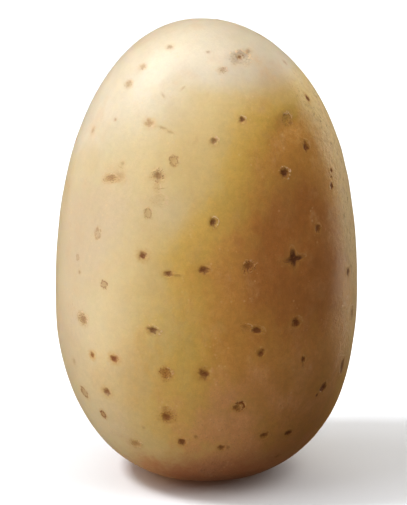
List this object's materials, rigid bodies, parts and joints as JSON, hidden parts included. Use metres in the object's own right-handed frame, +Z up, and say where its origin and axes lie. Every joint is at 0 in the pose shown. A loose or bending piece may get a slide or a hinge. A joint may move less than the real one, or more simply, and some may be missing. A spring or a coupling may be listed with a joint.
{
  "type": "potato",
  "caption": "Whole raw potato with a smooth pale skin, an even egg shape and shallow eyes, standing upright on a small flat spot.",
  "frame": {"origin": "on the surface that the potato stands on, under the middle of its box", "axes": "+Z up along the potato's length to its crown, -Y towards its best side, X across its width"},
  "size_m": [0.066, 0.058, 0.1018],
  "materials": {
    "skin": "thin washed potato skin, satin, pale straw yellow with brown corky specks"
  },
  "bodies": {
    "root": {"potato": "skin"}
  },
  "joints": []
}
